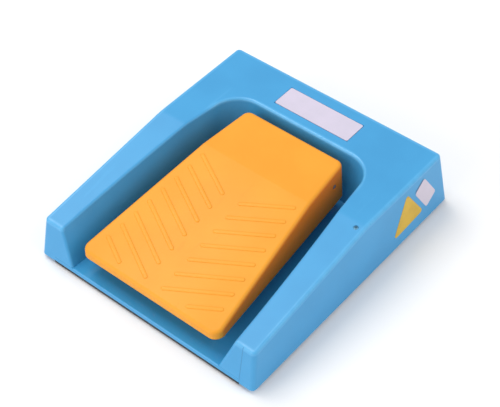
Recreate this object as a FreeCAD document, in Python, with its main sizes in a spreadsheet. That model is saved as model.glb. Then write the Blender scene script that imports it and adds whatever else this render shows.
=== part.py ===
import FreeCAD, Part
import math
import os
import re
import Sketcher

# Wireless foot switch: a wedge-shaped housing with a sprung treadle hinged in its open well.
# Millimetres, +Z up, front at -Y, origin on the ground under the middle of the housing.

document = FreeCAD.newDocument("foot_switch")
sheet = document.addObject("Spreadsheet::Sheet", "sizes")

driving = [
    # housing
    ("housing_width", 160.0),
    ("housing_depth", 184.4),
    ("hood_height", 39.7),
    ("side_inset", 3.0),
    ("end_inset", 6.8),
    ("arm_front_height", 26.7),
    ("arm_break", 12.0),
    ("break_radius", 15.0),
    ("corner_radius", 2.8),
    ("edge_radius", 1.7),
    ("lip_bevel", 0.5),
    ("housing_wall", 3.0),
    ("foot_height", 1.0),
    ("plate_proud", 1.6),
    ("cut_past", 5.0),
    # well between the arms
    ("floor_skin", 2.3),
    ("floor_front_half", 55.2),
    ("floor_rear_half", 49.6),
    ("wall_lean", 4.7),
    ("rim_front_half", 69.8),
    ("rim_rear_half", 51.6),
    ("rim_setback", 39.5),
    ("well_corner", 18.0),
    # base plate, feet and housing screws
    ("plate_thickness", 2.0),
    ("plate_gap", 0.6),
    ("plate_tip_gap", 0.25),
    ("tab_half", 70.0),
    ("foot_radius", 7.0),
    ("foot_inset", 14.0),
    ("foot_front_setback", 17.75),
    ("foot_rear_setback", 50.2),
    ("boss_radius", 3.5),
    ("boss_inset", 11.0),
    ("boss_front_setback", 15.3),
    ("boss_middle", -12.0),
    ("boss_rear_setback", 13.3),
    ("boss_cover", 2.0),
    ("screw_radius", 1.5),
    ("screw_head", 2.8),
    ("screw_head_height", 1.4),
    ("screw_length", 10.0),
    ("small_screw_radius", 1.0),
    ("small_screw_head", 1.9),
    ("small_screw_head_height", 1.0),
    ("thread_gap", 0.05),
    ("head_taper", 0.85),
    ("cross_reach", 0.55),
    ("cross_half", 0.14),
    ("cross_depth", 0.6),
    # name plate recess, light and stickers
    ("label_width", 54.3),
    ("label_depth", 16.6),
    ("label_setback", 23.95),
    ("label_thickness", 0.8),
    ("label_sink", 0.65),
    ("label_gap", 0.35),
    ("label_corner", 1.0),
    ("led_radius", 1.5),
    ("led_flange", 1.9),
    ("led_inset", 8.1),
    ("led_place", 8.4),
    ("led_proud", 0.3),
    ("sticker_thickness", 0.15),
    ("sticker_corner", 1.8),
    ("side_label_length", 21.9),
    ("side_label_width", 11.1),
    ("side_label_setback", 23.2),
    ("side_label_up", 22.1),
    ("side_label_tilt", -58),
    ("side_marker_radius", 17.0),
    ("side_marker_setback", 40.8),
    ("side_marker_up", 17.6),
    ("side_marker_turn", 93),
    # treadle
    ("pedal_gap", 7.2),
    ("nose_setback", 5.0),
    ("pedal_lift", 11.9),
    ("pedal_drop", 0.3),
    ("pedal_flat", 37.6),
    ("flat_fall", 1.9),
    ("nose_lip", 5.1),
    ("nose_solid", 15.2),
    ("nose_corner", 6.0),
    ("heel_corner", 5.0),
    ("crease_radius", 5.0),
    ("tread_radius", 2.4),
    ("pedal_rear_half", 37.8),
    ("pedal_front_half", 51.7),
    ("pedal_draft", 1.65),
    ("pedal_wall", 2.5),
    ("pedal_travel", 4.0),
    # hinge of the treadle
    ("pivot_setback", 11.5),
    ("pivot_drop", 10.7),
    ("pin_radius", 1.5),
    ("pin_groove", 1.15),
    ("pin_gap", 0.03),
    ("pin_sink", 0.2),
    ("bush_radius", 3.0),
    ("bush_flange", 4.0),
    ("bush_flange_thickness", 1.0),
    ("bush_seat", 5.0),
    ("bush_boss", 5.0),
    ("clip_radius", 3.4),
    ("clip_thickness", 0.7),
    ("bracket_half", 24.0),
    ("bracket_sheet", 2.0),
    ("bracket_tail", 12.5),
    ("ear_half", 6.0),
    ("bracket_screw_inset", 6.0),
    # springs and stops
    ("spring_side", 24.0),
    ("spring_reach", 54.0),
    ("spring_radius", 4.5),
    ("spring_wire", 0.55),
    ("spring_turns", 7.0),
    ("spring_boss", 7.0),
    ("spring_boss_depth", 5.5),
    ("spring_peg", 3.2),
    ("spring_peg_height", 3.5),
    ("spring_gap", 0.4),
    ("stop_side", 30.0),
    ("stop_setback", 29.2),
    ("stop_radius", 5.0),
    ("stop_clearance", 1.5),
    ("rest_side", 9.0),
    ("rest_width", 8.0),
    ("rest_depth", 4.0),
    ("rest_gap", 0.15),
    # small sensing switch under the treadle
    ("plunger_reach", 24.0),
    ("plunger_radius", 1.2),
    ("plunger_gap", 0.05),
    ("plunger_proud", 2.4),
    ("plunger_depth", 3.0),
    ("plunger_bore", 6.0),
    ("striker_gap", 0.15),
    ("striker_radius", 4.0),
    ("switch_length", 19.8),
    ("switch_depth", 6.4),
    ("switch_height", 10.2),
    ("switch_hole", 4.75),
    ("switch_hole_up", 2.8),
    ("switch_tab_half", 12.0),
    ("terminal_width", 3.2),
    ("terminal_thickness", 0.6),
    ("terminal_length", 4.2),
    ("terminal_pitch", 7.6),
    ("lead_radius", 1.2),
    ("lead_drop", 2.3),
    ("lead_clearance", 0.5),
    ("grommet_radius", 3.0),
    ("grommet_overhang", 1.2),
    # radio board in the hood
    ("board_left", -4.0),
    ("board_length", 62.0),
    ("board_setback", 33.4),
    ("board_depth", 21.0),
    ("board_thickness", 1.6),
    ("board_screw_inset", 3.0),
    ("spacer_radius", 2.4),
    ("socket_width", 8.0),
    ("socket_depth", 6.0),
    ("socket_height", 4.8),
    ("module_length", 18.0),
    ("module_depth", 13.0),
    ("module_height", 2.6),
    ("antenna_radius", 1.1),
    ("antenna_height", 18.0),
    ("wire_radius", 0.7),
    ("wire_pitch", 3.0),
    ("led_lead_drop", 0.55),
    ("led_lead_run", 0.42),
    ("led_lead_bend", 0.45),
    # cell tray in the hood
    ("tray_right", -9.0),
    ("tray_wall", 1.5),
    ("tray_block", 7.0),
    ("tray_setback", 35.4),
    ("tray_lug", 6.0),
    ("cell_radius", 5.25),
    ("cell_length", 44.5),
    ("cell_nub", 0.8),
    ("cell_gap", 0.4),
    ("contact_thickness", 0.4),
    ("door_gap", 0.3),
]

aliases = re.compile(r"\b(" + "|".join(name for name, value in driving) + r")\b")
for row, (name, value) in enumerate(driving, start=1):
    sheet.set(f"A{row}", name)
    sheet.set(f"B{row}", str(value))
    sheet.setAlias(f"B{row}", name)
document.recompute()


# Formulas are text in the sheet's aliases, so that every size stays tied to its cell

def tied(text):
    return aliases.sub(r"sizes.\1", str(text))


def number(text):
    return float(sheet.evalExpression(tied(text)))


def bind(item, name, text):
    item.setExpression(name, tied(text))


def settle(feature):
    before = feature.BaseFeature.Shape.Volume if feature.BaseFeature else 0.0
    document.recompute()
    if abs(feature.Shape.Volume - before) < 1e-6:
        raise RuntimeError(feature.Name + " changes nothing")
    return feature


def body(label):
    item = document.addObject("PartDesign::Body", label)
    item.Label = label
    return item


def origin_feature(owner, role):
    return [item for item in owner.Origin.OriginFeatures if item.Role == role][0]


def sketch(owner, role, offset):
    profile = owner.newObject("Sketcher::SketchObject", owner.Name + "_sketch")
    profile.AttachmentSupport = [(origin_feature(owner, role), "")]
    profile.MapMode = "FlatFace"
    bind(profile, "AttachmentOffset.Base.z", offset)
    return profile


def fix_point(profile, curve, point, place):
    for kind, text in zip(("DistanceX", "DistanceY"), place):
        index = profile.addConstraint(Sketcher.Constraint(kind, -1, 1, curve, point, number(text)))
        bind(profile, f"Constraints[{index}]", text)


def polygon(owner, role, offset, points):
    profile = sketch(owner, role, offset)
    corners = [FreeCAD.Vector(number(across), number(up), 0) for across, up in points]
    count = len(corners)
    for index in range(count):
        profile.addGeometry(Part.LineSegment(corners[index], corners[(index + 1) % count]))
    for index in range(count):
        profile.addConstraint(Sketcher.Constraint("Coincident", index, 2, (index + 1) % count, 1))
    for index in range(count):
        fix_point(profile, index, 1, points[index])
    return profile


def rectangle(owner, role, offset, left, right, low, high):
    return polygon(owner, role, offset, [(left, low), (right, low), (right, high), (left, high)])


def circles(owner, role, offset, centres, radius):
    profile = sketch(owner, role, offset)
    up = FreeCAD.Vector(0, 0, 1)
    for index, (across, along) in enumerate(centres):
        centre = FreeCAD.Vector(number(across), number(along), 0)
        profile.addGeometry(Part.Circle(centre, up, number(radius)))
        fix_point(profile, index, 3, (across, along))
        size = profile.addConstraint(Sketcher.Constraint("Radius", index, number(radius)))
        bind(profile, f"Constraints[{size}]", radius)
    return profile


def pad(owner, profile, length, reverse=False):
    feature = owner.newObject("PartDesign::Pad", owner.Name + "_pad")
    feature.Profile = profile
    feature.Reversed = reverse
    bind(feature, "Length", length)
    return settle(feature)


def pocket(owner, profile, length, reverse=False):
    feature = owner.newObject("PartDesign::Pocket", owner.Name + "_pocket")
    feature.Profile = profile
    feature.Reversed = reverse
    bind(feature, "Length", length)
    return settle(feature)


def pocket_through(owner, profile):
    feature = owner.newObject("PartDesign::Pocket", owner.Name + "_through")
    feature.Profile = profile
    feature.SideType = "Symmetric"
    feature.Type = "ThroughAll"
    return settle(feature)


def pocket_middle(owner, profile, width):
    feature = owner.newObject("PartDesign::Pocket", owner.Name + "_across")
    feature.Profile = profile
    feature.SideType = "Symmetric"
    bind(feature, "Length", width)
    return settle(feature)


def loft(owner, sections, cut=False):
    kind = "PartDesign::SubtractiveLoft" if cut else "PartDesign::AdditiveLoft"
    feature = owner.newObject(kind, owner.Name + "_loft")
    feature.Profile = sections[0]
    feature.Sections = sections[1:]
    feature.Ruled = True
    return settle(feature)


def rounded(owner, radius, wanted):
    base = owner.Tip
    names = [f"Edge{index}" for index, edge in enumerate(base.Shape.Edges, start=1) if wanted(edge)]
    feature = owner.newObject("PartDesign::Fillet", owner.Name + "_fillet")
    feature.Base = (base, names)
    bind(feature, "Radius", radius)
    return settle(feature)


def turned(name, outline):
    owner = body(name)
    feature = owner.newObject("PartDesign::Revolution", name + "_spin")
    feature.Profile = polygon(owner, "XZ_Plane", "0", outline)
    feature.ReferenceAxis = (origin_feature(owner, "Z_Axis"), [""])
    feature.Angle = 360
    settle(feature)
    return owner


def place(item, at, turn=FreeCAD.Rotation()):
    item.Placement = FreeCAD.Placement(FreeCAD.Vector(), turn)
    for axis, text in zip("xyz", at):
        bind(item, "Placement.Base." + axis, text)
    return item


def box(name, low, high):
    item = document.addObject("Part::Box", name)
    item.Label = name
    for size, first, last in zip(("Length", "Width", "Height"), low, high):
        bind(item, size, f"({last}) - ({first})")
    return place(item, low)


def rod(name, radius, height, at, turn=FreeCAD.Rotation()):
    item = document.addObject("Part::Cylinder", name)
    item.Label = name
    bind(item, "Radius", radius)
    bind(item, "Height", height)
    return place(item, at, turn)


def group(label, members):
    item = document.addObject("Part::Compound", label)
    item.Label = label
    item.Links = members
    return item


def screw(name, at, turn, head, head_height, shank, length, sunk=False):
    if sunk:
        top = "0"
        rim = [(shank, f"-{head_height}"), (head, "0")]
    else:
        top = head_height
        rim = [(shank, "0"), (head, "0"), (f"{head}*head_taper", top)]
    owner = turned(name, [("0", f"-({length})"), (shank, f"-({length})")] + rim + [("0", top)])
    arm = f"({head}*cross_reach)"
    half = f"({head}*cross_half)"
    cross = [(arm, half), (half, half), (half, arm), (f"-{half}", arm), (f"-{half}", half),
             (f"-{arm}", half), (f"-{arm}", f"-{half}"), (f"-{half}", f"-{half}"), (f"-{half}", f"-{arm}"),
             (half, f"-{arm}"), (half, f"-{half}"), (arm, f"-{half}")]
    pocket(owner, polygon(owner, "XY_Plane", top, cross), f"{head_height}*cross_depth")
    return place(owner, at, turn)


def near(value, target, slack=0.05):
    return abs(value - target) < slack


def ends(edge):
    return [vertex.Point for vertex in edge.Vertexes]


def is_upright(edge):
    return len({round(point.z, 3) for point in ends(edge)}) == 2


along_x = FreeCAD.Rotation(FreeCAD.Vector(0, 1, 0), 90)
along_y = FreeCAD.Rotation(FreeCAD.Vector(1, 0, 0), -90)
upside_down = FreeCAD.Rotation(FreeCAD.Vector(1, 0, 0), 180)

# Levels and outlines that several pieces share

skirt = "(foot_height + plate_proud)"
rim_rear = "(housing_depth/2 - rim_setback)"
floor_rear = f"({rim_rear} - wall_lean)"
label_middle = "(housing_depth/2 - label_setback)"
led_side = "(housing_width/2 - led_inset)"
board_front = "(housing_depth/2 - board_setback)"
tray_front = "(housing_depth/2 - tray_setback)"
hood_top = f"({skirt} + hood_height)"
plate_top = "(foot_height + plate_thickness)"
floor_top = "(foot_height + plate_thickness + floor_skin)"
arm_front_top = f"({skirt} + arm_front_height)"
roof_under = f"({hood_top} - housing_wall)"


def side_x(z):
    return f"(housing_width/2 - side_inset*(({z}) - {skirt})/hood_height)"


def end_y(z):
    return f"(housing_depth/2 - end_inset*(({z}) - {skirt})/hood_height)"


arm_front = end_y(arm_front_top)


def arm_z(y):
    return f"({hood_top} - (hood_height - arm_front_height)*(arm_break - ({y}))/(arm_break + {arm_front}))"


def floor_half(y):
    run = f"(({y}) + housing_depth/2)/({floor_rear} + housing_depth/2)"
    return f"(floor_front_half - (floor_front_half - floor_rear_half)*{run})"


def rim_half(y):
    run = f"(({y}) + housing_depth/2)/({rim_rear} + housing_depth/2)"
    return f"(rim_front_half - (rim_front_half - rim_rear_half)*{run})"


def well_half(y, z):
    rise = f"(({z}) - {floor_top})/({hood_top} - {floor_top})"
    return f"({floor_half(y)} + ({rim_half(y)} - {floor_half(y)})*{rise})"


pedal_rear = f"({rim_rear} - pedal_gap)"
pedal_front = "(nose_setback - housing_depth/2)"
pedal_length = f"({pedal_rear} - {pedal_front})"
pedal_low = f"({floor_top} + pedal_lift)"
pedal_high = f"({hood_top} - pedal_drop)"
crease_y = f"({pedal_rear} - pedal_flat)"
crease_z = f"({pedal_high} - flat_fall)"
nose_z = f"({pedal_low} + nose_lip)"
pivot_y = f"({pedal_rear} - pivot_setback)"
pivot_z = f"({pedal_high} - pivot_drop)"


tread_slope = f"(({crease_z} - {nose_z})/({crease_y} - {pedal_front}))"


def tread_z(y):
    return f"({crease_z} - {tread_slope}*({crease_y} - ({y})))"


def flat_z(y):
    return f"({pedal_high} - flat_fall*({pedal_rear} - ({y}))/pedal_flat)"


def pedal_half(y, z):
    plan = f"(pedal_rear_half + (pedal_front_half - pedal_rear_half)*({pedal_rear} - ({y}))/{pedal_length})"
    return f"({plan} - pedal_draft*(({z}) - {pedal_low})/({pedal_high} - {pedal_low}))"


bush_inner = f"({pedal_half(pivot_y, pivot_z)} - pedal_wall - bush_seat)"
spring_y = f"({pivot_y} - spring_reach)"
spring_top = f"({tread_z(spring_y)} - spring_boss_depth)"
stop_y = f"({pedal_front} + stop_setback)"
plunger_y = f"({pivot_y} - plunger_reach)"
bracket_top = f"({floor_top} + bracket_sheet)"
bracket_front = f"({plunger_y} - switch_depth/2 - bracket_sheet)"
bracket_rear = f"({pivot_y} + bracket_tail)"
lead_z = f"({pedal_low} - lead_drop)"
switch_low = f"({lead_z} + lead_radius + lead_clearance)"
switch_top = f"({switch_low} + switch_height)"
plunger_top = f"({switch_top} + plunger_proud)"
board_low = f"({lead_z} - socket_height/2 - board_thickness)"
board_top = f"({lead_z} - socket_height/2)"
board_right = "(board_left + board_length)"
board_rear = f"({board_front} + board_depth)"
tray_inner = "(cell_length + cell_nub + 2*contact_thickness + 2*cell_gap)"
tray_left = f"(tray_right - tray_block - {tray_inner} - tray_wall)"
tray_rear = f"({tray_front} + 2*tray_wall + 4*cell_radius + 3*cell_gap)"
tray_middle = f"(({tray_front} + {tray_rear})/2)"
tray_top = f"({plate_top} + 2*cell_radius + 2*cell_gap + tray_wall)"
battery_wire_z = f"({board_low} - socket_height/2)"

boss_front = "-(housing_depth/2 - boss_front_setback)"
boss_rear = "(housing_depth/2 - boss_rear_setback)"
boss_rows = [(boss_front, arm_z(boss_front)), ("boss_middle", arm_z("boss_middle")), (boss_rear, hood_top)]
boss_x = "(housing_width/2 - boss_inset)"
boss_places = [(f"{sign}{boss_x}", y) for y, top in boss_rows for sign in ("-", "")]
bracket_rows = (f"({bracket_front} + bracket_screw_inset)", f"({bracket_rear} - bracket_screw_inset)")
bracket_columns = ("-(bracket_half - bracket_screw_inset)", "(bracket_half - bracket_screw_inset)")
bracket_holes = [(x, y) for x in bracket_columns for y in bracket_rows]
board_holes = [(x, y) for x in ("(board_left + 4*board_screw_inset)", f"({board_right} - board_screw_inset)")
               for y in (f"({board_front} + board_screw_inset)", f"({board_rear} - board_screw_inset)")]
tray_holes = [(f"({tray_left} - tray_lug/2)", tray_middle),
              ("(tray_right + tray_lug/2)", f"({tray_front} + tray_lug/2)")]
door_hole = ("(tray_right - tray_block/2)", tray_middle)
switch_holes = [(f"{sign}switch_hole", f"({switch_low} + switch_hole_up)") for sign in ("-", "")]
led_seat = f"({arm_z('(led_place - led_flange)')} - housing_wall)"
led_low = f"({led_seat} - led_flange/2)"
side_socket_y = f"({board_rear} - 2*board_screw_inset - socket_width)"


# Housing: a drafted block with sloped arms, an open well, and a hollow underside

def make_housing():
    owner = body("housing")
    low = rectangle(owner, "XY_Plane", skirt, "-housing_width/2", "housing_width/2",
                    "-housing_depth/2", "housing_depth/2")
    top_x = side_x(hood_top)
    top_y = end_y(hood_top)
    high = rectangle(owner, "XY_Plane", hood_top, f"-{top_x}", top_x, f"-{top_y}", top_y)
    loft(owner, [low, high])

    ahead = "(housing_depth/2 + cut_past)"
    above = f"({hood_top} + cut_past)"
    slope = polygon(owner, "YZ_Plane", "0", [("arm_break", hood_top), ("arm_break", above),
                                             (f"-{ahead}", above), (f"-{ahead}", arm_z(f"-{ahead}"))])
    pocket_through(owner, slope)
    hood_level = number(hood_top)
    break_at = number("arm_break")
    rounded(owner, "break_radius",
            lambda edge: all(near(point.y, break_at) and near(point.z, hood_level) for point in ends(edge)))
    skirt_level = number(skirt)
    rounded(owner, "corner_radius",
            lambda edge: sorted(near(point.z, skirt_level) for point in ends(edge)) == [False, True])

    floor_front = floor_half(f"-{ahead}")
    rim_front = rim_half(f"-{ahead}")
    floor = polygon(owner, "XY_Plane", floor_top, [
        (f"-{floor_front}", f"-{ahead}"), (floor_front, f"-{ahead}"),
        ("floor_rear_half", floor_rear), ("-floor_rear_half", floor_rear)])
    rim = polygon(owner, "XY_Plane", hood_top, [
        (f"-{rim_front}", f"-{ahead}"), (rim_front, f"-{ahead}"),
        ("rim_rear_half", rim_rear), ("-rim_rear_half", rim_rear)])
    loft(owner, [floor, rim], cut=True)
    floor_level = number(floor_top)
    rear_low = number(floor_rear)
    rear_high = number(rim_rear)

    def well_corner(edge):
        low_end, high_end = sorted(ends(edge), key=lambda point: point.z)[:2]
        at_floor = near(low_end.z, floor_level) and near(low_end.y, rear_low)
        return at_floor and near(high_end.z, hood_level) and near(high_end.y, rear_high)

    rounded(owner, "well_corner", lambda edge: len(edge.Vertexes) == 2 and well_corner(edge))

    def top_level(y):
        return min(hood_level, number(arm_z(y)))

    def on_top(edge):
        middle = edge.valueAt((edge.FirstParameter + edge.LastParameter) / 2)
        points = ends(edge) + [middle]
        if not all(near(point.z, top_level(point.y), 0.3) for point in points):
            return False
        across = max(point.y for point in points) - min(point.y for point in points) < 0.01
        return not (across and abs(middle.y - break_at) < 10)

    def on_well_mouth(edge):
        points = ends(edge)
        on_front = all(near(-point.y, number(end_y(point.z))) for point in points)
        on_wall = all(near(abs(point.x), number(well_half(point.y, point.z))) for point in points)
        return on_front and on_wall and points[0].x * points[-1].x > 0

    rounded(owner, "edge_radius", lambda edge: on_top(edge) or on_well_mouth(edge))
    lip = end_y(floor_top)
    lip_cut = [(f"-({lip} - lip_bevel)", floor_top),
               (f"-({lip} + lip_bevel)", f"({floor_top} - 2*lip_bevel)"),
               (f"-({lip} + lip_bevel)", floor_top)]
    pocket_middle(owner, polygon(owner, "YZ_Plane", "0", lip_cut), "2*floor_front_half")
    hollow_housing(owner)
    drill_housing(owner)
    return owner


def hollow_housing(owner):
    def arm_section(sign, y, ceiling):
        outer_low = f"{sign}({side_x('0')} - housing_wall)"
        outer_high = f"{sign}({side_x(ceiling)} - housing_wall)"
        inner_high = f"{sign}({well_half(y, ceiling)} + housing_wall)"
        inner_low = f"{sign}({floor_half(y)} + housing_wall)"
        corners = [(outer_low, "0"), (outer_high, ceiling), (inner_high, ceiling), (inner_low, "0")]
        return polygon(owner, "XZ_Plane", f"-({y})", corners)

    front = f"-({arm_front} - housing_wall)"
    behind = f"({rim_rear} + 2*housing_wall)"
    for sign in ("", "-"):
        loft(owner, [arm_section(sign, front, f"({arm_z(front)} - housing_wall)"),
                     arm_section(sign, "arm_break", roof_under),
                     arm_section(sign, behind, roof_under)], cut=True)

    def hood_section(z, start):
        across = f"({side_x(z)} - housing_wall)"
        return rectangle(owner, "XY_Plane", z, f"-{across}", across, f"({start} + housing_wall)",
                         f"({end_y(z)} - housing_wall)")

    loft(owner, [hood_section("0", floor_rear), hood_section(roof_under, rim_rear)], cut=True)
    pocket(owner, polygon(owner, "XY_Plane", "0", plate_outline("0", "-cut_past")), plate_top, reverse=True)
    for y, top in boss_rows:
        pair = [(f"{sign}{boss_x}", y) for sign in ("-", "")]
        seats = circles(owner, "XY_Plane", plate_top, pair, "boss_radius")
        pad(owner, seats, f"{top} - boss_cover - {plate_top}")
    pegs = circles(owner, "XY_Plane", floor_top, [("-spring_side", spring_y), ("spring_side", spring_y)],
                   "spring_peg")
    pad(owner, pegs, "spring_peg_height")


def drill_housing(owner):
    pilots = circles(owner, "XY_Plane", plate_top, boss_places, "(screw_radius + thread_gap)")
    pocket(owner, pilots, "screw_length", reverse=True)
    holes = circles(owner, "XY_Plane", floor_top, bracket_holes, "(screw_radius + thread_gap)")
    pocket(owner, holes, "floor_skin")
    half_width = "(label_width/2 + label_gap)"
    half_depth = "(label_depth/2 + label_gap)"
    label = rectangle(owner, "XY_Plane", hood_top, f"-{half_width}", half_width,
                      f"({label_middle} - {half_depth})", f"({label_middle} + {half_depth})")
    pocket(owner, label, "label_sink")
    light = circles(owner, "XY_Plane", hood_top, [(led_side, "led_place")], "(led_radius + thread_gap)")
    pocket(owner, light, "2*housing_wall")
    exit_level = f"-({floor_rear} - housing_wall)"
    grommet = circles(owner, "XZ_Plane", exit_level, [("0", lead_z)], "grommet_radius")
    pocket(owner, grommet, "(wall_lean + 3*housing_wall)")


# Base plate: fills the housing's underside, with a tab that shows at the front

def plate_outline(inset, tip_inset):
    side = f"(housing_width/2 - housing_wall - {inset})"
    rear = f"(housing_depth/2 - housing_wall - {inset})"
    front = f"-({arm_front} - housing_wall - {inset})"
    tab = f"(tab_half - {inset}/2)"
    tip = f"-({end_y(skirt)} - {tip_inset})"
    return [(f"-{side}", rear), (f"-{side}", front), (f"-{tab}", front), (f"-{tab}", tip),
            (tab, tip), (tab, front), (side, front), (side, rear)]


def door_span(gap):
    across = (f"({tray_left} + {gap})", f"(tray_right - {gap})")
    return across + (f"({tray_front} + {gap})", f"({tray_rear} - {gap})")


def make_base_plate():
    owner = body("base_plate")
    outline = plate_outline("plate_gap", "plate_tip_gap")
    pad(owner, polygon(owner, "XY_Plane", "foot_height", outline), "plate_thickness")
    left, right, low, high = door_span("tray_wall/2")
    pocket(owner, rectangle(owner, "XY_Plane", plate_top, left, right, low, high), "plate_thickness")
    for holes, shank in ((boss_places + bracket_holes, "screw_radius"),
                         (board_holes + tray_holes, "small_screw_radius")):
        drilled = circles(owner, "XY_Plane", plate_top, holes, f"({shank} + thread_gap)")
        pocket(owner, drilled, "plate_thickness")
    for hole in boss_places:
        countersink(owner, hole, "screw_head", "screw_head_height", "screw_radius")
    return owner


def countersink(owner, hole, head, head_height, shank):
    wide = circles(owner, "XY_Plane", "foot_height", [hole], f"({head} + thread_gap)")
    narrow = circles(owner, "XY_Plane", f"(foot_height + {head_height})", [hole], f"({shank} + thread_gap)")
    loft(owner, [wide, narrow], cut=True)


def make_base_screws():
    members = []
    for index, (x, y) in enumerate(boss_places):
        members.append(screw(f"base_screw_{index}", (x, y, "foot_height"), upside_down, "screw_head",
                             "screw_head_height", "screw_radius", "screw_length", sunk=True))
    return group("base_screws", members)


def make_rubber_feet():
    members = []
    outline = [("0", "0"), ("foot_radius - foot_height/2", "0"), ("foot_radius", "foot_height/2"),
               ("foot_radius", "foot_height"), ("0", "foot_height")]
    for y in ("-(housing_depth/2 - foot_front_setback)", "(housing_depth/2 - foot_rear_setback)"):
        for sign in ("-", ""):
            foot = turned(f"foot_{len(members)}", outline)
            members.append(place(foot, (f"{sign}(housing_width/2 - foot_inset)", y, "0")))
    return group("rubber_feet", members)


def make_label_plate():
    owner = body("label_plate")
    low = f"({hood_top} - label_sink)"
    outline = rectangle(owner, "XY_Plane", low, "-label_width/2", "label_width/2",
                        f"({label_middle} - label_depth/2)", f"({label_middle} + label_depth/2)")
    pad(owner, outline, "label_thickness")
    rounded(owner, "label_corner", is_upright)
    return owner


# Stickers lie flat on the drafted right side, in axes along and up that face

def side_sticker(label, corners):
    owner = body(label)
    pad(owner, polygon(owner, "XY_Plane", "0", corners), "sticker_thickness")
    rounded(owner, "sticker_corner", is_upright)
    lean = math.atan2(number("side_inset"), number("hood_height"))
    along = FreeCAD.Vector(0, 1, 0)
    up = FreeCAD.Vector(-math.sin(lean), 0, math.cos(lean))
    turn = FreeCAD.Rotation(along, up, along.cross(up), "ZXY")
    return place(owner, ("housing_width/2", "0", skirt), turn)


def make_side_label():
    run = "cos(side_label_tilt*1deg)"
    rise = "sin(side_label_tilt*1deg)"
    corners = []
    for end, edge in ((-1, -1), (1, -1), (1, 1), (-1, 1)):
        long = f"({end}*side_label_length/2)"
        short = f"({edge}*side_label_width/2)"
        corners.append((f"housing_depth/2 - side_label_setback + {long}*{run} - {short}*{rise}",
                        f"side_label_up + {long}*{rise} + {short}*{run}"))
    return side_sticker("side_label", corners)


def make_side_marker():
    corners = []
    for turn in (0, 120, 240):
        angle = f"((side_marker_turn + {turn})*1deg)"
        corners.append((f"housing_depth/2 - side_marker_setback + side_marker_radius*cos{angle}",
                        f"side_marker_up + side_marker_radius*sin{angle}"))
    return side_sticker("side_marker", corners)


# Treadle: a tapered hollow cap with a short flat heel and a long sloped tread

def make_pedal():
    owner = body("pedal")

    def plan(z):
        front = pedal_half(pedal_front, z)
        rear = pedal_half(pedal_rear, z)
        return polygon(owner, "XY_Plane", z, [(f"-{front}", pedal_front), (front, pedal_front),
                                              (rear, pedal_rear), (f"-{rear}", pedal_rear)])

    loft(owner, [plan(pedal_low), plan(pedal_high)])
    ahead = f"({pedal_front} - cut_past)"
    behind = f"({pedal_rear} + cut_past)"
    above = f"({pedal_high} + cut_past)"
    waste = [(crease_y, crease_z), (behind, flat_z(behind)), (behind, above), (ahead, above),
             (ahead, tread_z(ahead))]
    pocket_through(owner, polygon(owner, "YZ_Plane", "0", waste))
    crease_at = number(crease_y)
    crease_level = number(crease_z)

    def at_crease(point):
        return near(point.y, crease_at) and near(point.z, crease_level)

    rounded(owner, "crease_radius", lambda edge: all(at_crease(point) for point in ends(edge)))
    low_level = number(pedal_low)

    def upright(edge, at):
        levels = sorted(near(point.z, low_level) for point in ends(edge))
        return levels == [False, True] and all(near(point.y, at) for point in ends(edge))

    rounded(owner, "nose_corner", lambda edge: upright(edge, number(pedal_front)))
    rounded(owner, "heel_corner", lambda edge: upright(edge, number(pedal_rear)))

    def top_level(y):
        return min(number(flat_z(y)), number(tread_z(y)))

    def on_top(edge):
        middle = edge.valueAt((edge.FirstParameter + edge.LastParameter) / 2)
        points = ends(edge) + [middle]
        if not all(near(point.z, top_level(point.y), 0.3) for point in points):
            return False
        across = max(point.y for point in points) - min(point.y for point in points) < 0.01
        return not (across and abs(middle.y - crease_at) < 8)

    rounded(owner, "tread_radius", on_top)
    hollow_pedal(owner)
    fit_pedal(owner)
    return owner


def hollow_pedal(owner):
    def section(y, top):
        ceiling = f"({top} - pedal_wall)"
        low = f"({pedal_low} - cut_past)"
        wide = f"({pedal_half(y, low)} - pedal_wall)"
        narrow = f"({pedal_half(y, ceiling)} - pedal_wall)"
        corners = [(f"-{wide}", low), (wide, low), (narrow, ceiling), (f"-{narrow}", ceiling)]
        return polygon(owner, "XZ_Plane", f"-({y})", corners)

    front = f"({pedal_front} + nose_solid)"
    rear = f"({pedal_rear} - pedal_wall)"
    sections = [section(front, tread_z(front)), section(crease_y, crease_z), section(rear, flat_z(rear))]
    loft(owner, sections, cut=True)


def fit_pedal(owner):
    pivot = [(pivot_y, pivot_z)]
    for sign, away in (("", False), ("-", True)):
        boss = circles(owner, "YZ_Plane", f"{sign}{bush_inner}", pivot, "bush_boss")
        pad(owner, boss, "(bush_seat + pedal_wall/2)", reverse=away)
    for sign, away in (("", True), ("-", False)):
        seat = circles(owner, "YZ_Plane", f"{sign}{bush_inner}", pivot, "(bush_radius + pin_gap)")
        pocket(owner, seat, "bush_seat", reverse=away)
    pocket_through(owner, circles(owner, "YZ_Plane", "0", pivot, "(pin_radius + 5*pin_gap)"))
    springs = [("-spring_side", spring_y), ("spring_side", spring_y)]
    pad(owner, circles(owner, "XY_Plane", spring_top, springs, "spring_boss"),
        f"(spring_boss_depth - pedal_wall/2 - spring_boss*{tread_slope})")
    pegs = circles(owner, "XY_Plane", spring_top, springs, "spring_peg")
    pad(owner, pegs, "spring_peg_height", reverse=True)
    striker_low = f"({plunger_top} + striker_gap)"
    pad(owner, circles(owner, "XY_Plane", striker_low, [("0", plunger_y)], "striker_radius"),
        f"({crease_z} - pedal_wall/2 - {striker_low})")


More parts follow.
